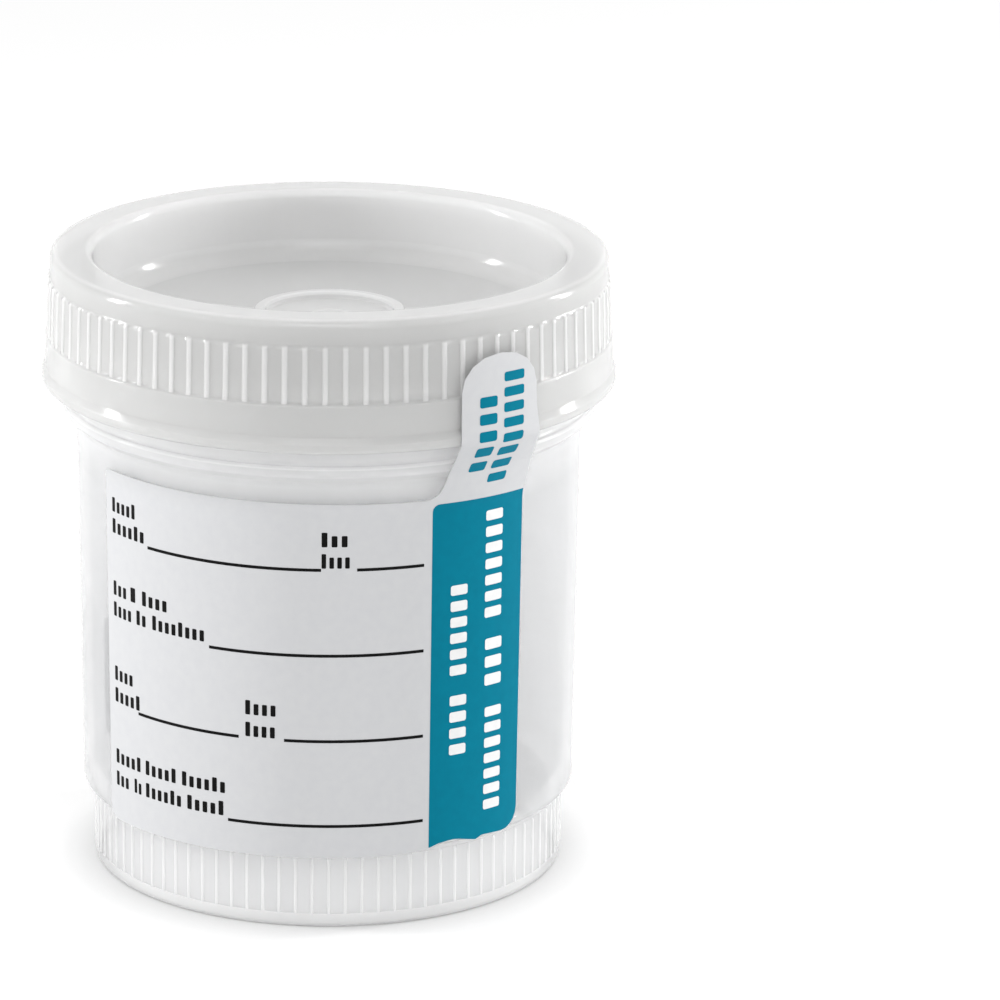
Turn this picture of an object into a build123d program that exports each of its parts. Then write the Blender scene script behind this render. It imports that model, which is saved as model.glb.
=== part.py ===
from build123d import *
import os
from math import cos, radians, sin

# Specimen container: a moulded cup on a fluted base, a fluted screw cap with a sunk top,
# a wrap-round label whose tab seals the cap, and a temperature strip.
# Millimetres, +Z up, origin at the middle of the foot. Bearings are degrees about the axis,
# seen from above: 0 is -Y, the middle of the front, and +90 is +X.

# Cup: collar and neck, whose radius drives every other radius
neck_radius = 29.9
neck_thickness = 1.3
neck_height = 15.35
neck_lead_in = 1.6
lip_chamfer = 0.35
collar_bottom = 53.7
collar_thickness = 1.85
collar_proud = 0.75
collar_rounding = 0.8

# Cup: wall and floor
wall_inset = 0.8
wall_draft = 0.5
wall_thickness = 1.2
heel_rounding = 1.1
floor_thickness = 1.6
floor_fillet = 1.6

# Cup: base skirt, the hollow plinth that the cup stands on
skirt_inset = 1.45
skirt_height = 9.2
skirt_thickness = 1.2
foot_height = 1.7
foot_inset = 0.05
foot_chamfer = 0.5
base_rib_count = 90
base_rib_bearing = 0.2
base_rib_width = 0.34
base_rib_proud = 0.25
base_rib_stop = 8.5
base_band_proud = 0.05

# Cap: outside
cap_height = 15.1
cap_wall = 1.0
rim_thickness = 1.6
rim_rounding = 1.6
grip_stop_below_top = 3.5
grip_length = 5.7
grip_proud = 0.15
cap_rib_count = 90
cap_rib_bearing = -0.8
cap_rib_width = 0.5
cap_rib_proud = 0.25
band_proud = 0.15
band_flare = 0.1
bead_proud = 0.35
bead_height = 1.1
bead_slope = 0.8
bead_rounding = 0.6

# Cap: sunk top and plug
recess_depth = 7.9
recess_rounding = 0.9
recess_draft = 0.9
recess_fillet = 2.2
panel_thickness = 1.3
plug_thickness = 1.3
plug_land = 2.2
plug_chamfer = 0.6
ring_radius = 8.0
ring_width = 1.3
ring_height = 0.8
gate_radius = 2.3
gate_depth = 0.3

# Fits between the cup and the cap
skirt_clearance = 1.1
plug_clearance = 0.1
lip_clearance = 0.2

# Label, with the tab that seals the cap
label_thickness = 0.15
label_clearance = 0.05
label_left_bearing = -59.6
label_right_bearing = 48.3
label_bottom = 9.0
label_top = 50.95
label_corner = 1.7
tab_bearing = 35.5
tab_left = 5.2
tab_right_high = 4.75
tab_right_low = 5.4
tab_left_corner = 1.8
tab_right_corner = 4.2
tab_flare = 3.4
tab_reach = 10.1
tab_lift_off = 4.0
seal_clearance = 0.12

# Temperature strip, opposite the label
strip_bearing = 195.3
strip_span = 103.4
strip_bottom = 10.04
strip_height = 14.3
strip_corner = 0.8

# How finely roundings and drafted sides are drawn
rounding_flat = 1.6
drafted_height = 3

# Heights and radii that follow from the sizes above
neck_bore = neck_radius - neck_thickness
collar_radius = neck_radius + collar_proud
wall_radius_high = neck_radius - wall_inset
wall_radius_low = wall_radius_high - wall_draft
skirt_radius = wall_radius_low - skirt_inset
foot_radius = skirt_radius - foot_inset
base_band_radius = skirt_radius + base_rib_proud + base_band_proud
floor_top = skirt_height + floor_thickness
heel_top = skirt_height + heel_rounding
collar_top = collar_bottom + collar_thickness
lip_top = collar_top + neck_height

cap_ceiling = lip_top + lip_clearance
cap_top = cap_ceiling + rim_thickness
cap_bottom = cap_top - cap_height
cap_bore = neck_radius + skirt_clearance
cap_radius = cap_bore + cap_wall
grip_top = cap_top - grip_stop_below_top
grip_bottom = grip_top - grip_length
grip_radius = cap_radius + grip_proud
band_radius_top = grip_radius + cap_rib_proud + band_proud
band_radius_bottom = band_radius_top + band_flare
bead_radius = band_radius_bottom + bead_proud
bead_top = cap_bottom + bead_height
recess_floor = cap_top - recess_depth
panel_bottom = recess_floor - panel_thickness
plug_radius = neck_bore - plug_clearance
recess_radius_top = plug_radius - plug_thickness
recess_radius_low = recess_radius_top - recess_draft


def wall_radius(height):
    """Outer radius of the cup's drafted wall, carried on below its heel."""
    share = (height - heel_top) / (collar_bottom - heel_top)
    return wall_radius_low + share * (wall_radius_high - wall_radius_low)


def side(start, end):
    """One side of an outline: a tall drafted side is a curve, which turns to a lighter face."""
    drafted = abs(end.X - start.X) > 0.001 and abs(end.Y - start.Y) > drafted_height
    return Bezier(start, end) if drafted else Line(start, end)


def outline(corners):
    """Closed face in the XZ plane from (radius, height, corner rounding) triples.

    A rounding is cut as one or more flats, so that the piece stays light.
    """
    points = [(radius, height) for radius, height, rounding in corners]
    roundings = [rounding for radius, height, rounding in corners]
    sides = []
    for edge in FilletPolyline(*points, radius=roundings, close=True).edges():
        arc = edge.geom_type == GeomType.CIRCLE
        flats = max(1, round(edge.length / rounding_flat)) if arc else 1
        stops = [edge @ (index / flats) for index in range(flats + 1)]
        sides += [side(start, end) for start, end in zip(stops, stops[1:])]
    return Plane.XZ * make_face(sides)


def turned(corners):
    """Full turn of an outline about the container's axis."""
    return revolve(outline(corners), Axis.Z)


def sector(section, bearing_from, bearing_to):
    """Part turn of a section between two bearings."""
    arc = revolve(section, Axis.Z, revolution_arc=bearing_to - bearing_from)
    return Rot(Z=bearing_from - 90) * arc


def ribbed_ring(core, bore, bottom, top, count, first, width, proud):
    """Ring with upright ribs round its outside, each drawn as a ridge."""
    ridge = [(-width / 2, core), (0, core + proud), (width / 2, core)]
    points = []
    for index in range(count):
        bearing = radians(first - 90 + 360 / count * index)
        for offset, reach in ridge:
            turn = bearing + offset / core
            points.append((reach * cos(turn), reach * sin(turn)))
    section = make_face(Polyline(*points, close=True)) - Circle(bore)
    return Pos(Z=bottom) * extrude(section, top - bottom)


def make_cup():
    """One moulding: skirt, floor, drafted wall, collar and plain neck."""
    skirt_bore = skirt_radius - skirt_thickness
    skirt_core = (skirt_bore + skirt_radius) / 2
    heel_ledge = (wall_radius_low - base_band_radius) * 0.97
    wall_bore_low = wall_radius(floor_top) - wall_thickness
    wall_bore_high = wall_radius(collar_bottom) - wall_thickness
    cup = turned([
        (0, skirt_height, 0),
        (skirt_bore, skirt_height, 0),
        (skirt_bore, 0, 0),
        (foot_radius - foot_chamfer, 0, 0),
        (foot_radius, foot_chamfer, 0),
        (foot_radius, foot_height, 0),
        (skirt_core, foot_height, 0),
        (skirt_core, base_rib_stop, 0),
        (base_band_radius, base_rib_stop, 0),
        (base_band_radius, skirt_height, 0),
        (wall_radius_low, skirt_height, min(heel_rounding, heel_ledge)),
        (wall_radius_high, collar_bottom, 0),
        (collar_radius, collar_bottom, collar_rounding),
        (collar_radius, collar_top, 0),
        (neck_radius, collar_top, 0),
        (neck_radius, lip_top, 0),
        (neck_bore + lip_chamfer, lip_top, 0),
        (neck_bore, lip_top - lip_chamfer, 0),
        (neck_bore, collar_bottom + neck_lead_in, 0),
        (wall_bore_high, collar_bottom, 0),
        (wall_bore_low, floor_top, floor_fillet),
        (0, floor_top, 0),
    ])
    ribs = ribbed_ring(
        skirt_radius, (skirt_bore + skirt_core) / 2, foot_height, base_rib_stop,
        base_rib_count, base_rib_bearing, base_rib_width, base_rib_proud,
    )
    return cup + ribs


def make_cap():
    """One moulding: fluted skirt with a bead, sunk top, and the plug round the recess."""
    plug_radius_low = recess_radius_low + plug_thickness
    grip_core = (cap_bore + cap_radius) / 2
    cap = turned([
        (cap_bore, cap_bottom, 0),
        (bead_radius, cap_bottom, bead_rounding),
        (bead_radius, bead_top, 0),
        (band_radius_bottom, bead_top + bead_slope, 0),
        (band_radius_top, grip_bottom, 0),
        (grip_core, grip_bottom, 0),
        (grip_core, grip_top, 0),
        (cap_radius, grip_top, 0),
        (cap_radius, cap_top, rim_rounding),
        (recess_radius_top, cap_top, recess_rounding),
        (recess_radius_low, recess_floor, recess_fillet),
        (ring_radius + ring_width / 2, recess_floor, 0),
        (ring_radius + ring_width / 2, recess_floor + ring_height, 0),
        (ring_radius - ring_width / 2, recess_floor + ring_height, 0),
        (ring_radius - ring_width / 2, recess_floor, 0),
        (gate_radius, recess_floor, 0),
        (gate_radius, recess_floor - gate_depth, 0),
        (0, recess_floor - gate_depth, 0),
        (0, panel_bottom, 0),
        (plug_radius_low - plug_chamfer, panel_bottom, 0),
        (plug_radius_low, panel_bottom + plug_chamfer, 0),
        (plug_radius, cap_ceiling - plug_land, 0),
        (plug_radius, cap_ceiling, 0),
        (cap_bore, cap_ceiling, 0),
    ])
    ribs = ribbed_ring(
        grip_radius, (cap_bore + grip_core) / 2, grip_bottom, grip_top,
        cap_rib_count, cap_rib_bearing, cap_rib_width, cap_rib_proud,
    )
    return cap + ribs


def skin(path, bearing_from, bearing_to):
    """Sheet of the label stock that follows an upright path of (radius, height)."""
    inner = list(path)
    outer = [(radius + label_thickness, height) for radius, height in reversed(path)]
    section = Plane.XZ * make_face(Polyline(*inner, *outer, close=True))
    return sector(section, bearing_from, bearing_to)


def on_wall(height):
    """Point just off the cup's wall, where stock stuck to it lies."""
    return (wall_radius(height) + label_clearance, height)


def window(bearing_from, bearing_to, bottom, top, corner):
    """Block that trims a skin to a rectangle with rounded corners."""
    inside = wall_radius_low / 2
    outside = bead_radius * 2
    section = Plane.XZ * Pos(inside, bottom) * Rectangle(
        outside - inside, top - bottom, align=(Align.MIN, Align.MIN),
    )
    block = sector(section, bearing_from, bearing_to)
    corners = [edge for edge in block.edges().filter_by(GeomType.LINE)
               if edge.length > outside - inside - 1 and abs(edge.tangent_at(0).Z) < 0.5]
    return fillet(corners, corner)


def make_label():
    """One die-cut sticker: a panel round the front, and a tab over the collar and the cap."""
    tab_radius = bead_radius + seal_clearance
    tab_top = cap_bottom + tab_reach
    lift_off = collar_bottom - tab_lift_off
    over_collar = (collar_radius + seal_clearance, collar_bottom + collar_rounding / 2)
    path = [
        on_wall(label_bottom),
        on_wall(lift_off),
        over_collar,
        (tab_radius, cap_bottom + bead_rounding / 3),
        (tab_radius, tab_top + label_thickness),
    ]
    sheet = skin(path, label_left_bearing, label_right_bearing)
    panel = window(label_left_bearing, label_right_bearing, label_bottom, label_top, label_corner)

    facing = Plane(
        origin=(0, 0, 0),
        x_dir=(cos(radians(tab_bearing)), sin(radians(tab_bearing)), 0),
        z_dir=(sin(radians(tab_bearing)), -cos(radians(tab_bearing)), 0),
    )
    root = label_top - tab_flare
    foot_left = tab_left + 2 * tab_flare
    label_edge = on_wall(label_top)[0] * sin(radians(label_right_bearing - tab_bearing))
    corners = [
        (-foot_left, root, 0),
        (-foot_left, label_top, 0),
        (-tab_left, label_top, tab_flare),
        (-tab_left, tab_top, tab_left_corner),
        (tab_right_high, tab_top, tab_right_corner),
        (tab_right_low, cap_bottom, 0),
        (label_edge, label_top, 0),
        (label_edge, root, 0),
    ]
    points = [(across, height) for across, height, rounding in corners]
    roundings = [rounding for across, height, rounding in corners]
    tab_face = make_face(FilletPolyline(*points, radius=roundings, close=True))
    tab = extrude(facing * tab_face, 2 * bead_radius)
    return sheet & (panel + tab)


def make_strip():
    """Temperature strip: a narrow label near the bottom of the wall, round the back."""
    strip_from = strip_bearing - strip_span / 2
    strip_to = strip_bearing + strip_span / 2
    strip_top = strip_bottom + strip_height
    strip_radius, top = on_wall(strip_top)
    sheet = skin([(strip_radius, strip_bottom), (strip_radius, top)], strip_from, strip_to)
    return sheet & window(strip_from, strip_to, strip_bottom, strip_top, strip_corner)


os.makedirs("parts", exist_ok=True)
pieces = {
    "cup": make_cup(),
    "cap": make_cap(),
    "label": make_label(),
    "temperature_strip": make_strip(),
}
for name, piece in pieces.items():
    piece.label = name
    export_step(piece, f"parts/{name}.step")
    print(name, "solids", len(piece.solids()), "volume", round(piece.volume, 1))
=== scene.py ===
"""Looks, lights and camera of the specimen container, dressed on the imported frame.

Lengths are millimetres and are turned to metres when a mesh is made, apart from
those of the stage, the lights and the materials, which are metres. Bearings are
degrees about the axis, seen from above: 0 is -Y, the middle of the front, and +90
is +X.
"""

from bisect import bisect
from math import atan, atan2, ceil, cos, degrees, pi, radians, sin, tan

import bmesh
import bpy
from mathutils import Matrix, Vector
from mathutils.geometry import delaunay_2d_cdt


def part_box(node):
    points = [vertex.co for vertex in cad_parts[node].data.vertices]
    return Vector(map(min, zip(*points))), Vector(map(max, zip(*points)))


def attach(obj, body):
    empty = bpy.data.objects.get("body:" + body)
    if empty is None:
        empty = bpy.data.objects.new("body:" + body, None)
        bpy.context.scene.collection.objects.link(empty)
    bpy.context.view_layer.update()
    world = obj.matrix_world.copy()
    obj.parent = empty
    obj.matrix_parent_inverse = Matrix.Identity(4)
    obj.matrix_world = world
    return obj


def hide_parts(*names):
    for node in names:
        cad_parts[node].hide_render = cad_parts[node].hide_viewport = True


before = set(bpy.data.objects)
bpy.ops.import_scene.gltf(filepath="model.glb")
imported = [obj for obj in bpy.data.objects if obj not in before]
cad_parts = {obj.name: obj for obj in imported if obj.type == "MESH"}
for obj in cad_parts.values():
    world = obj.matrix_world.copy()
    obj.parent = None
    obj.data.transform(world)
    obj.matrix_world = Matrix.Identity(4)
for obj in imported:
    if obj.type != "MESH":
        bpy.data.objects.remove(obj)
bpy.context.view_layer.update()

MM = 0.001


def millimetres(corner):
    """A corner of a frame box, in millimetres."""
    return [value / MM for value in corner]


# ---- Sizes taken from the frame -------------------------------------------------

cup_high = millimetres(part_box("cup")[1])
cap_low, cap_high = (millimetres(corner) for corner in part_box("cap"))
strip_low, strip_high = (millimetres(corner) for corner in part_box("temperature_strip"))

LIP_TOP = cup_high[2]
COLLAR_RADIUS = cup_high[0]
CAP_TOP = cap_high[2]
CAP_BOTTOM = cap_low[2]
BEAD_RADIUS = cap_high[0]
STRIP_BOTTOM = strip_low[2]
STRIP_TOP = strip_high[2]

# ---- Cup ------------------------------------------------------------------------

SKIRT_RADIUS = 27.1
SKIRT_BORE = 25.95
SKIRT_HEIGHT = 9.2
SKIRT_MIDDLE = SKIRT_BORE + 0.5
FOOT_RADIUS = 27.2
FOOT_HEIGHT = 1.7
FOOT_ROUNDING = 0.7
BASE_BAND_RADIUS = 27.35
BASE_RIB_STOP = 8.5
BASE_RIB_PROUD = 0.26
BASE_RIB_WIDTH = 0.42
BASE_RIB_FIRST = 0.2
WALL_RADIUS_LOW = 28.62
WALL_RADIUS_HIGH = 29.1
WALL_THICKNESS = 1.2
HEEL_ROUNDING = 1.15
FLOOR_TOP = 10.8
FLOOR_FILLET = 1.6
COLLAR_BOTTOM = 53.7
COLLAR_TOP = 55.55
COLLAR_TAPER_LOW = COLLAR_BOTTOM - 0.5
COLLAR_TAPER_HIGH = COLLAR_BOTTOM + 0.7
WALL_STRAIGHT_TO = COLLAR_BOTTOM - 5
NECK_RADIUS = 29.9
NECK_BORE = 28.6
NECK_LEAD_IN = COLLAR_BOTTOM + 1.6

# ---- Cap ------------------------------------------------------------------------

CAP_RADIUS = 32.0
CAP_BORE = 31.0
CAP_CEILING = CAP_TOP - 1.6
GRIP_TOP = CAP_TOP - 3.1
GRIP_BOTTOM = CAP_TOP - 9.4
GRIP_RADIUS_TOP = 32.1
GRIP_RADIUS_LOW = 32.3
CAP_RIB_PROUD = 0.17
CAP_RIB_WIDTH = 0.7
CAP_RIB_FIRST = -0.8
BAND_RADIUS_LOW = 32.65
BAND_RADIUS_TOP = 32.57
BAND_TOP = GRIP_BOTTOM - 0.25
BEAD_TOP = CAP_BOTTOM + 1.15
BEAD_SLOPE_TOP = CAP_BOTTOM + 1.95
MOUTH_CHAMFER = 0.4
RIM_ROUNDING = 0.9
RIM_EDGE = GRIP_TOP + 0.35
RECESS_RADIUS_TOP = 27.2
RECESS_RADIUS_LOW = 26.3
RECESS_FLOOR = CAP_TOP - 7.9
RECESS_FILLET = 2.3
PANEL_BOTTOM = RECESS_FLOOR - 1.3
PLUG_THICKNESS = 1.3
PLUG_RADIUS = 28.5
PLUG_LAND = 2.2
RING_RADIUS = 8.0
RING_HALF_WIDTH = 0.66
RING_TOP = RECESS_FLOOR + 0.8
RING_ROUNDING = 0.25
GATE_RADIUS_TOP = 2.4
GATE_RADIUS_LOW = 2.1
GATE_FLOOR = RECESS_FLOOR - 0.3

# ---- Screw thread, shared by the neck and the cap -------------------------------

THREAD_PITCH = 4.2
THREAD_TURNS = 1.3
THREAD_START = 60.4
THREAD_DEPTH = 0.8
THREAD_ROOT = 1.7
THREAD_CREST = 0.6
THREAD_FADE = 0.05
THREAD_ROW = 0.4
NECK_THREAD_LOW = THREAD_START - 1.5
NECK_THREAD_TOP = LIP_TOP - 2
CAP_THREAD_START = THREAD_START - THREAD_PITCH / 2
CAP_THREAD_TOP = CAP_CEILING - 2.6
CAP_THREAD_LOW = CAP_BOTTOM + 0.9

# ---- Ribs and roundings ---------------------------------------------------------

RIBS = 90
RIB_COLUMNS = (-1, -0.85, -0.35, 0.35, 0.85, 1)
RIB_EASE = 0.35
ARC_STEP = radians(23)
GUARD = 0.12
NEAR = 0.01

# ---- How far the plastic is blended to white, from 0 on the plain wall to 1: painted light and painted highlights, partly the whiter look of thick plastic --

# Foot and skirt: painted light that lifts the shade of the dark hollow under the floor, partly the
# whiter look of the solid foot and the double wall
FOOT_WHITENESS_AND_PAINTED_LIGHT = 0.8
SKIRT_WHITENESS_AND_PAINTED_LIGHT = 0.3
# Collar and the plain wall just below it: painted light, partly the whiter look of the thick collar
COLLAR_WHITENESS_AND_PAINTED_LIGHT = 0.5
# Neck between the collar and the cap: painted light that lifts the shade under the cap's bead
NECK_PAINTED_LIGHT = 0.8
# Crests of the cap's ribs: painted highlight
CAP_RIB_PAINTED_HIGHLIGHT = 0.65
# Top of the cap's rim: painted light on its upward face
RIM_TOP_PAINTED_LIGHT = 0.6
# Floor of the sunk top: painted light; its wall and ring get painted light at full white
RECESS_FLOOR_PAINTED_LIGHT = 0.55
WALL_CLEAR_TO = COLLAR_BOTTOM - 4
NECK_CLEAR_FROM = CAP_BOTTOM + 1


# ---- Profiles -------------------------------------------------------------------

def rounded(corners, closed=False):
    """Dense outline through (x, y, rounding) corners.

    Each rounding is an arc, with a point just before and after it, so that smooth
    shading stays within the rounding.
    """
    points = []
    last = len(corners) - 1
    for index, (x, y, rounding) in enumerate(corners):
        here = Vector((x, y))
        at_end = not closed and index in (0, last)
        if at_end or rounding <= 0:
            points.append(here)
            continue
        before = Vector(corners[index - 1][:2]) - here
        after = Vector(corners[(index + 1) % len(corners)][:2]) - here
        half = before.angle(after) / 2
        reach = rounding / tan(half)
        inward = (before.normalized() + after.normalized()).normalized()
        centre = here + inward * rounding / sin(half)
        start = here + before.normalized() * reach
        end = here + after.normalized() * reach
        if before.length > reach + 2 * GUARD:
            points.append(start + before.normalized() * GUARD)
        facing = atan2(start.y - centre.y, start.x - centre.x)
        turn = (atan2(end.y - centre.y, end.x - centre.x) - facing + pi) % (2 * pi) - pi
        steps = max(2, ceil(abs(turn) / ARC_STEP))
        for step in range(steps + 1):
            angle = facing + turn * step / steps
            points.append(centre + rounding * Vector((cos(angle), sin(angle))))
        if after.length > reach + 2 * GUARD:
            points.append(end + after.normalized() * GUARD)
    return points


def climb(radius_from, height_from, radius_to, height_to, spacing):
    """Corners up or down a straight side, close enough to carry a thread or ribs."""
    steps = max(1, ceil(abs(height_to - height_from) / spacing))
    share = [step / steps for step in range(steps + 1)]
    return [(radius_from + (radius_to - radius_from) * part,
             height_from + (height_to - height_from) * part, 0) for part in share]


def rib_rows(radius_low, low, radius_high, high):
    """Corners up a ribbed side: the ribs rise from it over a short ease at each end."""
    drop = (radius_high - radius_low) / (high - low) * RIB_EASE
    return [(radius_low, low, 0), (radius_low + drop, low + RIB_EASE, 0),
            (radius_high - drop, high - RIB_EASE, 0), (radius_high, high, 0)]


def wall_radius(height):
    """Outer radius of the cup's drafted wall, carried on below its heel."""
    share = (height - FLOOR_TOP) / (COLLAR_BOTTOM - FLOOR_TOP)
    return WALL_RADIUS_LOW + share * (WALL_RADIUS_HIGH - WALL_RADIUS_LOW)


def rib_bearings(first, width, radius):
    """Bearings round the piece with columns across each rib and in the valley between."""
    half = degrees(width / 2 / radius)
    pitch = 360 / RIBS
    valley = pitch - 2 * half
    offsets = [half * share for share in RIB_COLUMNS]
    offsets.append(half + valley / 2)
    return [first + pitch * rib + offset for rib in range(RIBS) for offset in offsets]


def rib_height(bearing, first, width, radius, proud):
    """How far a rounded rib stands out at a bearing."""
    pitch = 360 / RIBS
    half = degrees(width / 2 / radius)
    off = abs((bearing - first + pitch / 2) % pitch - pitch / 2)
    return proud * max(0, 1 - (off / half) ** 2) ** 0.5 if off < half else 0


def thread_height(bearing, height, start):
    """How far a single-start thread stands out at a bearing and height."""
    best = 0
    for turn in range(int(THREAD_TURNS) + 2):
        along = (bearing % 360) / 360 + turn
        if along > THREAD_TURNS:
            continue
        off = abs(height - start - THREAD_PITCH * along)
        flank = (THREAD_ROOT / 2 - off) / ((THREAD_ROOT - THREAD_CREST) / 2)
        fade = min(1, along / THREAD_FADE, (THREAD_TURNS - along) / THREAD_FADE)
        best = max(best, min(1, max(0, flank)) * max(0, fade))
    return THREAD_DEPTH * best


# ---- Meshes ---------------------------------------------------------------------

def around(radius, bearing, height):
    """Point in metres at a radius, bearing and height."""
    turn = radians(bearing)
    return Vector((radius * sin(turn), -radius * cos(turn), height)) * MM


def finished(name, mesh, body, material, stands_for=()):
    """Scene object from a bmesh, shaded, coloured and riding on its body."""
    bmesh.ops.recalc_face_normals(mesh, faces=mesh.faces)
    data = bpy.data.meshes.new(name)
    mesh.to_mesh(data)
    mesh.free()
    data.shade_smooth()
    data.set_sharp_from_angle(angle=radians(50))
    data.materials.append(material)
    piece = bpy.data.objects.new(name, data)
    bpy.context.scene.collection.objects.link(piece)
    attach(piece, body)
    if stands_for:
        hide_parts(*stands_for)
    return piece


def lathed(profile, bearings, relief, whiteness_and_painted_light):
    """Closed surface turned from a profile that starts and ends on the axis.

    How far the plastic is blended to white at each point is kept as the attribute that whiten()
    reads: painted light and painted highlights on most parts, partly the whiter look of thick
    plastic.
    """
    mesh = bmesh.new()
    white = mesh.verts.layers.float.new("whiteness_and_painted_light")
    rings = []
    for radius, height in profile:
        if radius < 1e-6:
            pole = mesh.verts.new(around(0, 0, height))
            pole[white] = whiteness_and_painted_light(0, 0, height)
            rings.append([pole])
            continue
        ring = []
        for bearing in bearings:
            rise = relief(radius, bearing, height)
            vert = mesh.verts.new(around(radius + rise, bearing, height))
            vert[white] = whiteness_and_painted_light(rise, radius, height)
            ring.append(vert)
        rings.append(ring)
    count = len(bearings)
    for lower, upper in zip(rings, rings[1:]):
        for index in range(count):
            after = (index + 1) % count
            corners = [lower[index % len(lower)], lower[after % len(lower)],
                       upper[after % len(upper)], upper[index % len(upper)]]
            mesh.faces.new(list(dict.fromkeys(corners)))
    return mesh


def make_cup(material):
    """Cup: fluted hollow base, heel, drafted wall, collar, threaded neck, floor."""
    profile = rounded([
        (0, SKIRT_HEIGHT, 0),
        (SKIRT_BORE, SKIRT_HEIGHT, 0.5),
        (SKIRT_BORE, 0, 0.3),
        (FOOT_RADIUS, 0, FOOT_ROUNDING),
        (FOOT_RADIUS, FOOT_HEIGHT, 0.05),
        *rib_rows(SKIRT_RADIUS, FOOT_HEIGHT, SKIRT_RADIUS, BASE_RIB_STOP),
        (BASE_BAND_RADIUS, BASE_RIB_STOP, 0.1),
        (BASE_BAND_RADIUS, SKIRT_HEIGHT, 0.15),
        (wall_radius(SKIRT_HEIGHT), SKIRT_HEIGHT, HEEL_ROUNDING),
        (wall_radius(WALL_STRAIGHT_TO), WALL_STRAIGHT_TO, 0),
        (WALL_RADIUS_HIGH, COLLAR_TAPER_LOW, 0.9),
        (COLLAR_RADIUS, COLLAR_TAPER_HIGH, 0.6),
        (COLLAR_RADIUS, COLLAR_TOP, 0.3),
        (NECK_RADIUS, COLLAR_TOP, 0.3),
        *climb(NECK_RADIUS, NECK_THREAD_LOW, NECK_RADIUS, NECK_THREAD_TOP, THREAD_ROW),
        (NECK_RADIUS, LIP_TOP, 0.4),
        (NECK_BORE, LIP_TOP, 0.4),
        (NECK_BORE, NECK_LEAD_IN, 0.4),
        (wall_radius(COLLAR_BOTTOM) - WALL_THICKNESS, COLLAR_BOTTOM, 0.4),
        (wall_radius(FLOOR_TOP) - WALL_THICKNESS, FLOOR_TOP, FLOOR_FILLET),
        (0, FLOOR_TOP, 0),
    ])

    def relief(radius, bearing, height):
        if FOOT_HEIGHT < height < BASE_RIB_STOP and radius > SKIRT_MIDDLE:
            return rib_height(bearing, BASE_RIB_FIRST, BASE_RIB_WIDTH, SKIRT_RADIUS, BASE_RIB_PROUD)
        if radius > NECK_RADIUS - NEAR and height > NECK_THREAD_LOW:
            return thread_height(bearing, height, THREAD_START)
        return 0

    def whiteness_and_painted_light(rise, radius, height):
        # Base: painted light on the foot and skirt, partly thick plastic, and a painted highlight on
        # the crest of each rib
        if height < SKIRT_HEIGHT:
            plain = FOOT_WHITENESS_AND_PAINTED_LIGHT if height < FOOT_HEIGHT else SKIRT_WHITENESS_AND_PAINTED_LIGHT
            return plain + (1 - plain) * min(1, rise / BASE_RIB_PROUD)
        if height < WALL_CLEAR_TO:
            return 0
        # Top edge of the collar: painted highlight line
        if abs(height - COLLAR_TOP) < 0.35 and radius > NECK_RADIUS + 0.2:
            return 1
        if height > NECK_CLEAR_FROM:
            return rise / THREAD_DEPTH
        # Collar and the wall below it: painted light, partly thick plastic; neck: painted light
        # against the shade under the cap
        return COLLAR_WHITENESS_AND_PAINTED_LIGHT if height < COLLAR_TOP else NECK_PAINTED_LIGHT

    bearings = rib_bearings(BASE_RIB_FIRST, BASE_RIB_WIDTH, SKIRT_RADIUS)
    mesh = lathed(profile, bearings, relief, whiteness_and_painted_light)
    return finished("cup_moulding", mesh, "cup", material, ["cup"])


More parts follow.
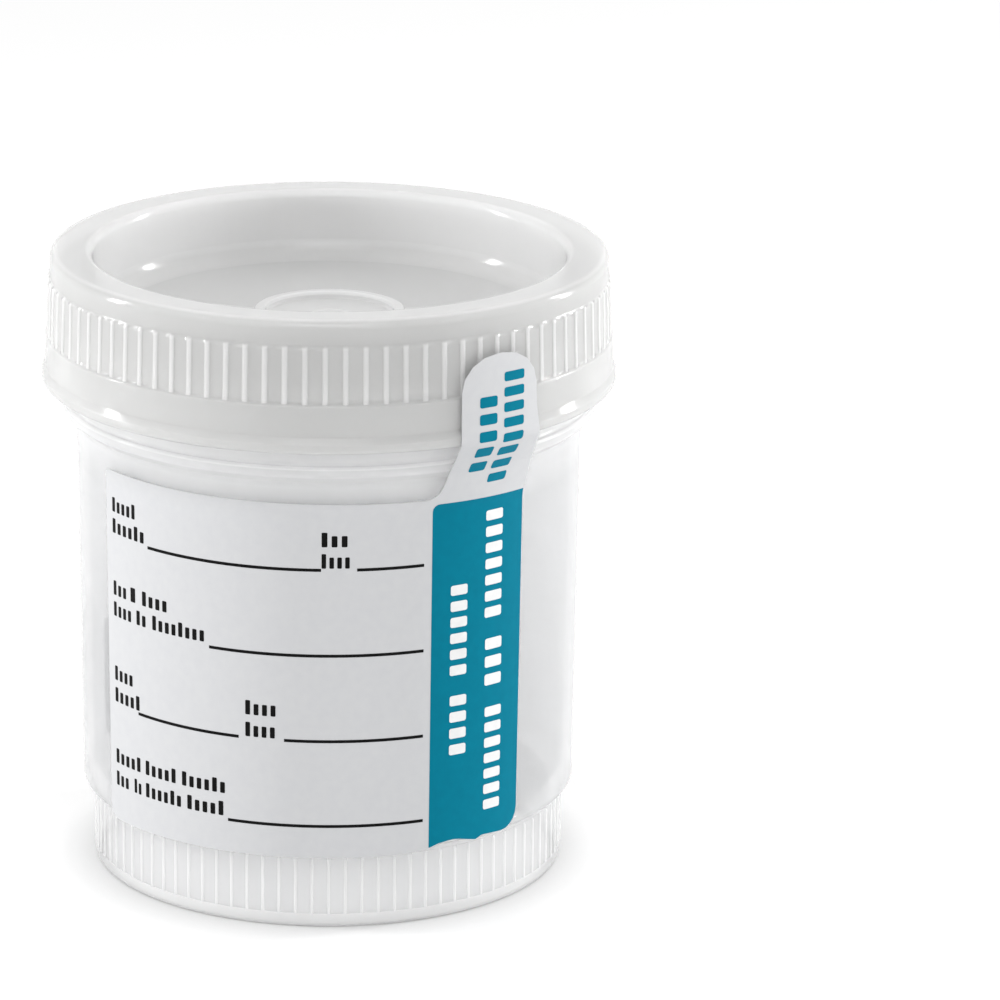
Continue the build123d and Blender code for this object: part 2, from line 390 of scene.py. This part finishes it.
def make_cap(material):
    """Cap: fluted skirt with a bead, threaded bore, plug, sunk top with a raised ring."""
    profile = rounded([
        (0, PANEL_BOTTOM, 0),
        (RECESS_RADIUS_LOW + PLUG_THICKNESS, PANEL_BOTTOM, 0.5),
        (PLUG_RADIUS, CAP_CEILING - PLUG_LAND, 0.4),
        (PLUG_RADIUS, CAP_CEILING, 0.2),
        (CAP_BORE, CAP_CEILING, 0.3),
        *climb(CAP_BORE, CAP_THREAD_TOP, CAP_BORE, CAP_THREAD_LOW, THREAD_ROW),
        (CAP_BORE + MOUTH_CHAMFER, CAP_BOTTOM, 0.2),
        (BEAD_RADIUS, CAP_BOTTOM, 0.6),
        (BEAD_RADIUS, BEAD_TOP, 0.3),
        (BAND_RADIUS_LOW, BEAD_SLOPE_TOP, 0.5),
        (BAND_RADIUS_TOP, BAND_TOP, 0.2),
        *rib_rows(GRIP_RADIUS_LOW, GRIP_BOTTOM, GRIP_RADIUS_TOP, GRIP_TOP),
        (CAP_RADIUS, RIM_EDGE, 0.3),
        (CAP_RADIUS, CAP_TOP, RIM_ROUNDING),
        (RECESS_RADIUS_TOP, CAP_TOP, RIM_ROUNDING),
        (RECESS_RADIUS_LOW, RECESS_FLOOR, RECESS_FILLET),
        (RING_RADIUS + RING_HALF_WIDTH, RECESS_FLOOR, RING_ROUNDING),
        (RING_RADIUS + RING_HALF_WIDTH, RING_TOP, RING_ROUNDING),
        (RING_RADIUS - RING_HALF_WIDTH, RING_TOP, RING_ROUNDING),
        (RING_RADIUS - RING_HALF_WIDTH, RECESS_FLOOR, RING_ROUNDING),
        (GATE_RADIUS_TOP, RECESS_FLOOR, 0.15),
        (GATE_RADIUS_LOW, GATE_FLOOR, 0.15),
        (0, GATE_FLOOR, 0),
    ])

    def relief(radius, bearing, height):
        if GRIP_BOTTOM < height < GRIP_TOP and radius > CAP_RADIUS + 0.05:
            return rib_height(bearing, CAP_RIB_FIRST, CAP_RIB_WIDTH, GRIP_RADIUS_LOW, CAP_RIB_PROUD)
        if abs(radius - CAP_BORE) < NEAR and height < CAP_THREAD_TOP + NEAR:
            return -thread_height(bearing, height, CAP_THREAD_START)
        return 0

    def whiteness_and_painted_light(rise, radius, height):
        # Rib crests: painted highlight
        if rise > 0:
            return CAP_RIB_PAINTED_HIGHLIGHT * min(1, rise / CAP_RIB_PROUD)
        outside_recess = radius > RECESS_RADIUS_TOP + 0.5
        # Top of the rim: painted light
        if outside_recess and height > CAP_TOP - 0.2:
            return RIM_TOP_PAINTED_LIGHT
        if outside_recess or height < RECESS_FLOOR - 0.5:
            return 0
        # Wall of the sunk top and the raised ring: painted light at full white; the floor part way
        on_recess_wall = height > RECESS_FLOOR + 1.5
        on_ring = abs(radius - RING_RADIUS) < 0.7 and height > RECESS_FLOOR + 0.4
        return 1 if on_recess_wall or on_ring else RECESS_FLOOR_PAINTED_LIGHT

    bearings = rib_bearings(CAP_RIB_FIRST, CAP_RIB_WIDTH, GRIP_RADIUS_LOW)
    mesh = lathed(profile, bearings, relief, whiteness_and_painted_light)
    return finished("cap_moulding", mesh, "cap", material, ["cap"])


# ---- Stickers and print ---------------------------------------------------------

STOCK = 0.12
PRINT = 0.03
BEDDED = 0.01
LIFT = 0.05
TAB_RADIUS = BEAD_RADIUS + 0.12
STEP_ACROSS = 0.6
STEP_UP = 1.5
LEAST_STEP = 0.02

LABEL_LEFT = -59.6
LABEL_RIGHT = 48.2
LABEL_BOTTOM = 9.0
PER_DEGREE = radians(1) * (WALL_RADIUS_LOW + WALL_RADIUS_HIGH) / 2

LIFT_OFF = COLLAR_BOTTOM - 4
STUCK_PATH = rounded([
    (wall_radius(0) + LIFT, 0, 0),
    (wall_radius(LIFT_OFF) + LIFT, LIFT_OFF, 4),
    (COLLAR_RADIUS + 0.13, COLLAR_BOTTOM + 0.4, 3),
    (TAB_RADIUS, CAP_BOTTOM + 0.2, 1.5),
    (TAB_RADIUS, CAP_TOP, 0),
])
PATH_HEIGHTS = [point.y for point in STUCK_PATH]
ROWS = sorted({row * STEP_UP for row in range(ceil(CAP_TOP / STEP_UP))} | set(PATH_HEIGHTS[1:-1]))


def stuck_radius(height):
    """Radius at which label stock lies: on the wall, then over the collar to the cap."""
    above = min(max(bisect(PATH_HEIGHTS, height), 1), len(STUCK_PATH) - 1)
    low, high = STUCK_PATH[above - 1], STUCK_PATH[above]
    return low.x + (high.x - low.x) * (height - low.y) / (high.y - low.y)


def divided(start, end):
    """Points from start up to end, close together and with one on each row that is crossed."""
    parts = max(1, ceil((end - start).length / STEP_ACROSS))
    shares = {part / parts for part in range(parts)}
    if abs(end.y - start.y) > 1e-6:
        shares |= {(row - start.y) / (end.y - start.y) for row in ROWS}
    least = LEAST_STEP / (end - start).length
    kept = [0.0]
    for share in sorted(shares):
        if share - kept[-1] > least and share < 1 - least:
            kept.append(share)
    return [start.lerp(end, share) for share in kept]


def triangulated(outline):
    """Flat points and triangles that fill an outline of (bearing, height), on a fine grid."""
    corners = [Vector((bearing * PER_DEGREE, height)) for bearing, height in outline]
    edge = [point for start, end in zip(corners, corners[1:] + corners[:1])
            for point in divided(start, end)]
    low = Vector((min(point.x for point in edge), min(point.y for point in edge)))
    high = Vector((max(point.x for point in edge), max(point.y for point in edge)))
    columns = range(ceil(low.x / STEP_ACROSS), ceil(high.x / STEP_ACROSS))
    grid = [Vector((column * STEP_ACROSS, row)) for column in columns
            for row in ROWS if low.y < row < high.y]
    links = [(index, (index + 1) % len(edge)) for index in range(len(edge))]
    flat, _, faces, *_ = delaunay_2d_cdt(edge + grid, links, [], 1, 1e-5)
    return flat, faces


def border(faces):
    """Sides that only one of the faces has, each in the direction in which it has it."""
    sides = {}
    for face in faces:
        for start, end in zip(face, face[1:] + face[:1]):
            if (end, start) in sides:
                del sides[(end, start)]
            else:
                sides[(start, end)] = True
    return list(sides)


def add_skin(mesh, places, faces, surface, thickness):
    """Add a closed skin that lies on a surface at the given (bearing, height) places."""
    inner = [mesh.verts.new(around(surface(*place), *place)) for place in places]
    outer = [mesh.verts.new(around(surface(*place) + thickness, *place)) for place in places]
    for face in faces:
        mesh.faces.new([inner[index] for index in reversed(face)])
        mesh.faces.new([outer[index] for index in face])
    for start, end in border(faces):
        mesh.faces.new([inner[start], inner[end], outer[end], outer[start]])
    loose = [vert for vert in mesh.verts if not vert.link_faces]
    bmesh.ops.delete(mesh, geom=loose, context="VERTS")


def wrapped(name, outlines, surface, thickness, material, stands_for=()):
    """Closed skin cut to outlines of (bearing, height) and laid on a surface."""
    mesh = bmesh.new()
    for outline in outlines:
        flat, faces = triangulated(outline)
        places = [(point.x / PER_DEGREE, point.y) for point in flat]
        add_skin(mesh, places, faces, surface, thickness)
    return finished(name, mesh, "cup", material, stands_for)


def sticker_outline(corners):
    """Rounded outline from (bearing, height, rounding) corners, back in bearings."""
    flat = [(bearing * PER_DEGREE, height, rounding) for bearing, height, rounding in corners]
    return [(point.x / PER_DEGREE, point.y) for point in rounded(flat, closed=True)]


def block(left, right, bottom, top, rounding=0.0):
    """Outline of a rectangle between two bearings and two heights."""
    return sticker_outline([
        (left, bottom, rounding), (right, bottom, rounding),
        (right, top, rounding), (left, top, rounding),
    ])


LABEL_CORNERS = [
    (LABEL_LEFT, LABEL_BOTTOM, 1.7),
    (16, LABEL_BOTTOM, 6),
    (23.2, 9.25, 0.1),
    (25.6, 9.7, 1),
    (29.5, 10.0, 4),
    (35.6, 9.3, 0.1),
    (37.3, 9.7, 1),
    (41.5, 9.6, 6),
    (LABEL_RIGHT, 9.45, 2.4),
    (LABEL_RIGHT, 50.2, 0),
    (47.2, 54.0, 0),
    (45.2, 57.4, 3),
    (44.1, 61.0, 6),
    (43.6, 67.9, 4.3),
    (26.2, 67.9, 4.0),
    (26.2, 57.6, 6),
    (25.7, 54.0, 8),
    (24.2, 50.8, 1.9),
    (12.0, 50.9, 20.0),
    (LABEL_LEFT, 51.1, 1.7),
]

BAND_CORNERS = [
    (23.3, 9.35, 0.1),
    (25.6, 9.75, 1),
    (29.5, 10.05, 4),
    (35.6, 9.35, 0.1),
    (37.3, 9.75, 1),
    (41.5, 9.65, 6),
    (LABEL_RIGHT - 0.1, 9.5, 2.4),
    (LABEL_RIGHT - 0.1, 50.0, 0.1),
    (23.3, 50.2, 0.8),
]

LINES = [
    (-44.4, -1.7, 43.2), (6.2, 21.4, 43.2),
    (-27.5, 21.5, 33.1),
    (-48.2, -20.4, 22.95), (-9.9, 21.6, 22.95),
    (-23.1, 21.8, 12.8),
]
LINE_WIDTH = 0.35

CAPTIONS = [
    (46.0, [(-57, -47.8)]),
    (43.5, [(-57, -44.8)]),
    (45.9, [(-1.6, 5.0)]),
    (43.4, [(-1.6, 5.3)]),
    (36.1, [(-57, -51.3), (-50.4, -47.6), (-46.4, -38)]),
    (33.6, [(-57, -49.6), (-48.4, -44.6), (-43.2, -28)]),
    (25.9, [(-57, -49.4)]),
    (23.3, [(-57, -47)]),
    (25.7, [(-18.8, -11)]),
    (23.1, [(-18.8, -11.2)]),
    (15.9, [(-57, -47), (-46, -36), (-35, -23)]),
    (13.2, [(-57, -51.5), (-50, -47), (-46, -34.6), (-33.6, -23.4)]),
]
CAPTION_HEIGHT = 1.3
LETTER_PITCH = 0.95
LETTER_WIDTH = 0.55
TALL_LETTER = 0.4
TALL_EVERY = 4

# Words that read down the sheet: left and right bearing, top and bottom height
BAND_WORDS = [
    (37.1, 41.9, 48.4, 35.0), (37.4, 42.2, 33.2, 26.8), (37.6, 42.4, 25.0, 12.0),
    (28.0, 32.3, 40.3, 28.9), (28.1, 32.4, 27.2, 19.4),
]
TAB_WORDS = [(35.7, 40.6, 65.6, 51.4), (30.1, 34.1, 63.1, 53.1)]
BAND_LETTER_PITCH = 1.9
TAB_LETTER_PITCH = 1.85
LETTER_SHARE = 0.62

# The lower right edge stands off the wall in waves that die out upwards
RIPPLE_TOP = 13
RIPPLE_HEIGHT = 4
RIPPLE_FROM = 23.4
RIPPLE_SPAN = 12.1
RIPPLE_RISE = 0.12


def letters_across(left, right, height):
    """Small upright blocks in place of a printed word, the first and each fourth after it taller."""
    count = max(1, round((right - left) * PER_DEGREE / LETTER_PITCH))
    pitch = (right - left) / count
    wide = pitch * LETTER_WIDTH / LETTER_PITCH
    blocks = []
    for index in range(count):
        start = left + pitch * index
        tall = TALL_LETTER if index % TALL_EVERY == 0 else 0
        blocks.append(block(start, start + wide, height, height + CAPTION_HEIGHT + tall, 0.12))
    return blocks


def letters_down(words, pitch):
    """Blocks in place of words that read down the sheet."""
    blocks = []
    for left, right, top, bottom in words:
        count = max(1, round((top - bottom) / pitch))
        fitted = (top - bottom) / count
        for index in range(count):
            start = top - fitted * index
            blocks.append(block(left, right, start - LETTER_SHARE * fitted, start, 0.25))
    return blocks


def label_surface(bearing, height):
    """Radius of the label, which stands off the wall a little along its lower right edge."""
    ripple = 0
    if height < RIPPLE_TOP and RIPPLE_FROM < bearing < LABEL_RIGHT + 1:
        wave = abs(sin(pi * (bearing - RIPPLE_FROM) / RIPPLE_SPAN))
        ripple = RIPPLE_RISE * wave * ((RIPPLE_TOP - height) / RIPPLE_HEIGHT) ** 2
    return stuck_radius(height) + ripple


def make_label(stock, teal, black, white):
    """Label with its tab, the coloured band, the writing lines and blocks for words."""
    wrapped("label_sticker", [sticker_outline(LABEL_CORNERS)], label_surface, STOCK,
            stock, ["label"])

    def printed(level):
        return lambda bearing, height: label_surface(bearing, height) + STOCK + level

    on_paper = printed(-BEDDED)
    on_band = printed(PRINT - 2 * BEDDED)
    wrapped("label_band", [sticker_outline(BAND_CORNERS)], on_paper, PRINT, teal)
    lines = [block(left, right, height - LINE_WIDTH / 2, height + LINE_WIDTH / 2)
             for left, right, height in LINES]
    wrapped("label_lines", lines, on_paper, PRINT, black)
    words = [letter for height, bars in CAPTIONS for left, right in bars
             for letter in letters_across(left, right, height)]
    wrapped("label_captions", words, on_paper, PRINT, black)
    wrapped("band_words", letters_down(BAND_WORDS, BAND_LETTER_PITCH), on_band, PRINT,
            white)
    wrapped("tab_words", letters_down(TAB_WORDS, TAB_LETTER_PITCH), on_paper, PRINT,
            teal)


STRIP_MIDDLE = 195.3
STRIP_HALF = 51.7
STRIP_BAND = (13.2, 20.85)
UPPER_MARKS = [(-22.2, "2"), (-5.9, "4"), (9.9, "6"), (26.1, "8"), (42.4, "100"), (-40.0, "90")]
LOWER_MARKS = [(-22.2, "3"), (-5.9, "4"), (9.9, "6"), (26.1, "7"), (42.4, "38"), (-40.0, "32")]
TICKS = [-30.3, -14.1, 1.9, 17.9, 34.9]
STRIP_CORNER = 0.8
BAND_INSET = 0.6
TICK_HALF_WIDTH = 0.35
TICK_HEIGHT = 1.4
UPPER_TICK_GAP = 0.9
LOWER_TICK_GAP = 1.0
NUMBER_HEIGHT = 2.3
FIGURE_SHARE = 0.7
UPPER_BASELINE = STRIP_BAND[1] + 0.55
LOWER_BASELINE = STRIP_BAND[0] - 2.75


def strip_surface(bearing, height):
    """Radius of the temperature strip on the wall."""
    return wall_radius(height) + LIFT


def printed_surface(bearing, height):
    """Radius at which print on the strip starts, a little inside its film."""
    return strip_surface(bearing, height) + STOCK - BEDDED


def printed_number(text, bearing, baseline, material, name):
    """Generic number printed on the strip, bent round the wall."""
    curve = bpy.data.curves.new(name, "FONT")
    curve.body = text
    curve.size = NUMBER_HEIGHT / FIGURE_SHARE
    curve.align_x = "CENTER"
    curve.resolution_u = 4
    text_object = bpy.data.objects.new(name, curve)
    bpy.context.scene.collection.objects.link(text_object)
    bpy.context.view_layer.update()
    flat = bpy.data.meshes.new_from_object(text_object)
    bpy.data.objects.remove(text_object)
    figures = bmesh.new()
    figures.from_mesh(flat)
    bmesh.ops.remove_doubles(figures, verts=figures.verts, dist=1e-4)
    figures.verts.index_update()
    places = [(bearing + vert.co.x / PER_DEGREE, baseline + vert.co.y) for vert in figures.verts]
    faces = [[vert.index for vert in face.verts] for face in figures.faces]
    figures.free()
    mesh = bmesh.new()
    add_skin(mesh, places, faces, printed_surface, PRINT)
    return finished(name, mesh, "cup", material)


def make_strip(stock, black):
    """Temperature strip: white film, black band, ticks and plain numbers."""
    left = STRIP_MIDDLE - STRIP_HALF
    right = STRIP_MIDDLE + STRIP_HALF
    film = block(left, right, STRIP_BOTTOM, STRIP_TOP, STRIP_CORNER)
    wrapped("strip_film", [film], strip_surface, STOCK, stock, ["temperature_strip"])

    low, high = STRIP_BAND
    marks = [block(left + BAND_INSET, right - BAND_INSET, low, high)]
    for tick in TICKS:
        sides = (STRIP_MIDDLE + tick - TICK_HALF_WIDTH, STRIP_MIDDLE + tick + TICK_HALF_WIDTH)
        above = high + UPPER_TICK_GAP
        below = low - LOWER_TICK_GAP
        marks.append(block(*sides, above, above + TICK_HEIGHT))
        marks.append(block(*sides, below - TICK_HEIGHT, below))
    wrapped("strip_marks", marks, printed_surface, PRINT, black)
    for bearing, text in UPPER_MARKS:
        printed_number(text, STRIP_MIDDLE + bearing, UPPER_BASELINE, black, "upper_number_" + text)
    for bearing, text in LOWER_MARKS:
        printed_number(text, STRIP_MIDDLE + bearing, LOWER_BASELINE, black, "lower_number_" + text)


# ---- Materials ------------------------------------------------------------------

CUP_OPACITY = 0.36
CAP_OPACITY = 0.64
SCATTER_DEPTH = 0.0015
# White that the plastic is blended to, for painted light and painted highlights and for thick
# plastic
PAINTED_LIGHT_AND_THICK_WHITE = 0.98
NOISE_DETAIL = 4
RAMP_FROM = 0.3
RAMP_TO = 0.7

# Darkest and lightest colour of each finish
CUP_COLOURS = ((0.60, 0.605, 0.615), (0.63, 0.635, 0.64))
CAP_COLOURS = ((0.67, 0.67, 0.665), (0.69, 0.69, 0.685))
PAPER_COLOURS = ((0.58, 0.585, 0.60), (0.60, 0.605, 0.615))
FILM_COLOURS = ((0.76, 0.76, 0.76), (0.79, 0.79, 0.785))
BLACK_COLOURS = ((0.004, 0.004, 0.004), (0.008, 0.008, 0.008))
TEAL_COLOURS = ((0.0, 0.175, 0.265), (0.0, 0.19, 0.285))
WHITE_COLOURS = ((0.78, 0.78, 0.78), (0.84, 0.84, 0.84))

def new_material(name, **values):
    """Material with one principled shader whose sockets are set by name."""
    material = bpy.data.materials.new(name)
    material.use_nodes = True
    nodes = material.node_tree.nodes
    nodes.clear()
    shader = nodes.new("ShaderNodeBsdfPrincipled")
    output = nodes.new("ShaderNodeOutputMaterial")
    material.node_tree.links.new(shader.outputs["BSDF"], output.inputs["Surface"])
    for socket, value in values.items():
        shader.inputs[socket.replace("_", " ")].default_value = value
    return material, shader


def add_noise(material, shader, scale, colours, bump, distance):
    """Faint mottling of colour and surface from object-space noise."""
    tree = material.node_tree
    where = tree.nodes.new("ShaderNodeTexCoord")
    noise = tree.nodes.new("ShaderNodeTexNoise")
    noise.inputs["Scale"].default_value = scale
    noise.inputs["Detail"].default_value = NOISE_DETAIL
    tree.links.new(where.outputs["Object"], noise.inputs["Vector"])
    ramp = tree.nodes.new("ShaderNodeValToRGB")
    for stop, position, colour in zip(ramp.color_ramp.elements, (RAMP_FROM, RAMP_TO), colours):
        stop.position = position
        stop.color = (*colour, 1)
    tree.links.new(noise.outputs["Fac"], ramp.inputs["Fac"])
    tree.links.new(ramp.outputs["Color"], shader.inputs["Base Color"])
    relief = tree.nodes.new("ShaderNodeBump")
    relief.inputs["Strength"].default_value = bump
    relief.inputs["Distance"].default_value = distance
    tree.links.new(noise.outputs["Fac"], relief.inputs["Height"])
    tree.links.new(relief.outputs["Normal"], shader.inputs["Normal"])


def whiten(material, shader):
    """Blends the colour towards white by the attribute made in lathed(): painted light and painted
    highlights on most parts, partly thicker plastic, which looks whiter.
    """
    tree = material.node_tree
    colour = shader.inputs["Base Color"].links[0].from_socket
    share = tree.nodes.new("ShaderNodeAttribute")
    share.attribute_name = "whiteness_and_painted_light"
    blend = tree.nodes.new("ShaderNodeMix")
    blend.data_type = "RGBA"
    blend.inputs["B"].default_value = (*grey(PAINTED_LIGHT_AND_THICK_WHITE), 1)
    tree.links.new(share.outputs["Fac"], blend.inputs["Factor"])
    tree.links.new(colour, blend.inputs["A"])
    tree.links.new(blend.outputs["Result"], shader.inputs["Base Color"])


def grey(value):
    """Colour without a hue."""
    return (value, value, value)


def moulded_plastic(name, opacity, roughness, ior, scale, colours, bump):
    """Translucent plastic: part see-through, part scattering, and whiter where light and highlights
    are painted on, partly where it is thick.
    """
    material, shader = new_material(name, Roughness=roughness, IOR=ior, Alpha=opacity,
                                    Subsurface_Weight=1, Subsurface_Scale=SCATTER_DEPTH,
                                    Subsurface_Radius=(1, 1, 1))
    add_noise(material, shader, scale, colours, bump, distance=0.0002)
    whiten(material, shader)
    return material


def make_materials():
    """All the finishes of the container."""
    finishes = {
        "cup": moulded_plastic("milky_plastic", CUP_OPACITY, roughness=0.12, ior=1.4,
                               scale=60, colours=CUP_COLOURS, bump=0.04),
        "cap": moulded_plastic("white_moulded_plastic", CAP_OPACITY, roughness=0.1, ior=1.45,
                               scale=45, colours=CAP_COLOURS, bump=0.03),
    }
    stock, shader = new_material("coated_paper", Roughness=0.38, Specular_IOR_Level=0.3)
    add_noise(stock, shader, scale=900, colours=PAPER_COLOURS, bump=0.04, distance=0.00005)
    finishes["stock"] = stock
    film, shader = new_material("strip_film_white", Roughness=0.3)
    add_noise(film, shader, scale=700, colours=FILM_COLOURS, bump=0.04, distance=0.00004)
    finishes["film"] = film
    inks = {"ink_black": BLACK_COLOURS, "ink_teal": TEAL_COLOURS, "ink_white": WHITE_COLOURS}
    for name, colours in inks.items():
        ink, shader = new_material(name, Roughness=0.45, Specular_IOR_Level=0.05)
        add_noise(ink, shader, scale=900, colours=colours, bump=0.05, distance=0.00004)
        finishes[name] = ink
    return finishes


finishes = make_materials()
make_cup(finishes["cup"])
make_cap(finishes["cap"])
make_label(finishes["stock"], finishes["ink_teal"], finishes["ink_black"], finishes["ink_white"])
make_strip(finishes["film"], finishes["ink_black"])


# ---- Camera ---------------------------------------------------------------------

CAMERA_PLACE = Vector((0, -702.51, 256.03))
AIM = Vector((0, 0, 36))
AIM_PIXEL = (328.88, 553.87)
FOCAL_PIXELS = 6339.9
FRAME_PIXELS = 1000
SENSOR = 36
ROLL = 0.160
VIEW_DEPTH = 50


def make_camera():
    """Camera at the viewing angle, turned so that AIM falls at AIM_PIXEL of the frame."""
    data = bpy.data.cameras.new("camera")
    data.sensor_width = SENSOR
    data.lens = FOCAL_PIXELS / FRAME_PIXELS * SENSOR
    data.clip_end = VIEW_DEPTH
    camera = bpy.data.objects.new("camera", data)
    bpy.context.scene.collection.objects.link(camera)
    look = (AIM - CAMERA_PLACE).to_track_quat("-Z", "Y").to_matrix()
    right = atan((FRAME_PIXELS / 2 - AIM_PIXEL[0]) / FOCAL_PIXELS)
    up = atan((AIM_PIXEL[1] - FRAME_PIXELS / 2) / FOCAL_PIXELS)
    roll = Matrix.Rotation(radians(ROLL), 3, "Z")
    turn = roll @ Matrix.Rotation(-right, 3, "Y") @ Matrix.Rotation(up, 3, "X")
    camera.matrix_world = Matrix.Translation(CAMERA_PLACE * MM) @ (look @ turn).to_4x4()
    bpy.context.scene.camera = camera


# ---- Stage and lights -----------------------------------------------------------

FLOOR_HALF_WIDTH = 3.0
FLOOR_PAINT = 0.55
FLOOR_GLOW = 0.5
CONTACT_REACH = 0.006
CONTACT_SAMPLES = 4
WORLD_FILL = 0.6
BACKDROP = 1.0

# Soft lights in metres and watts: name, place, width, height, power
LIGHT_TARGET = (0, 0, 0.04)
SOFTBOXES = [
    ("left_light", (-0.62, 0.05, 0.2), 0.08, 0.36, 2.6),
    ("right_light", (0.62, 0.2, 0.2), 0.08, 0.36, 3.3),
    ("top_light", (0.0, -0.65, 0.6), 0.5, 0.5, 2.0),
]


def seen_directly(tree):
    """Socket that is 1 on camera, glossy and transmission rays, and 0 on diffuse ones."""
    path = tree.nodes.new("ShaderNodeLightPath")
    total = None
    for kind in ("Is Camera Ray", "Is Glossy Ray", "Is Transmission Ray"):
        if total is None:
            total = path.outputs[kind]
            continue
        either = tree.nodes.new("ShaderNodeMath")
        either.operation = "MAXIMUM"
        tree.links.new(total, either.inputs[0])
        tree.links.new(path.outputs[kind], either.inputs[1])
        total = either.outputs[0]
    return total


def make_floor():
    """White floor, part lit and part glowing, which dims close round the container."""
    mesh = bmesh.new()
    bmesh.ops.create_grid(mesh, x_segments=2, y_segments=2, size=FLOOR_HALF_WIDTH)
    data = bpy.data.meshes.new("floor")
    mesh.to_mesh(data)
    mesh.free()
    floor = bpy.data.objects.new("floor", data)
    bpy.context.scene.collection.objects.link(floor)
    material = bpy.data.materials.new("floor_white")
    material.use_nodes = True
    tree = material.node_tree
    tree.nodes.clear()
    paint = tree.nodes.new("ShaderNodeBsdfDiffuse")
    paint.inputs["Color"].default_value = (*grey(FLOOR_PAINT), 1)
    glow = tree.nodes.new("ShaderNodeEmission")
    openness = tree.nodes.new("ShaderNodeAmbientOcclusion")
    openness.samples = CONTACT_SAMPLES
    openness.inputs["Distance"].default_value = CONTACT_REACH
    openness.inputs["Color"].default_value = (*grey(FLOOR_GLOW), 1)
    tree.links.new(openness.outputs["Color"], glow.inputs["Color"])
    both = tree.nodes.new("ShaderNodeAddShader")
    output = tree.nodes.new("ShaderNodeOutputMaterial")
    tree.links.new(paint.outputs[0], both.inputs[0])
    tree.links.new(glow.outputs[0], both.inputs[1])
    tree.links.new(both.outputs[0], output.inputs["Surface"])
    data.materials.append(material)


def make_world():
    """Even fill light, and a white backdrop for what the camera and glass see."""
    world = bpy.data.worlds.new("studio")
    bpy.context.scene.world = world
    world.use_nodes = True
    tree = world.node_tree
    tree.nodes.clear()
    seen = seen_directly(tree)
    blend = tree.nodes.new("ShaderNodeMix")
    blend.data_type = "FLOAT"
    blend.inputs["A"].default_value = WORLD_FILL
    blend.inputs["B"].default_value = BACKDROP
    tree.links.new(seen, blend.inputs["Factor"])
    back = tree.nodes.new("ShaderNodeBackground")
    back.inputs["Color"].default_value = (1, 1, 1, 1)
    tree.links.new(blend.outputs[0], back.inputs["Strength"])
    output = tree.nodes.new("ShaderNodeOutputWorld")
    tree.links.new(back.outputs[0], output.inputs["Surface"])


def make_softbox(name, place, width, height, power):
    """Rectangular soft light that faces the container."""
    data = bpy.data.lights.new(name, "AREA")
    data.shape = "RECTANGLE"
    data.size = width
    data.size_y = height
    data.energy = power
    light = bpy.data.objects.new(name, data)
    bpy.context.scene.collection.objects.link(light)
    light.location = place
    aim = Vector(LIGHT_TARGET) - Vector(place)
    light.rotation_euler = aim.to_track_quat("-Z", "Y").to_euler()


make_camera()
make_floor()
make_world()
for softbox in SOFTBOXES:
    make_softbox(*softbox)

bpy.context.scene.view_settings.view_transform = "Standard"
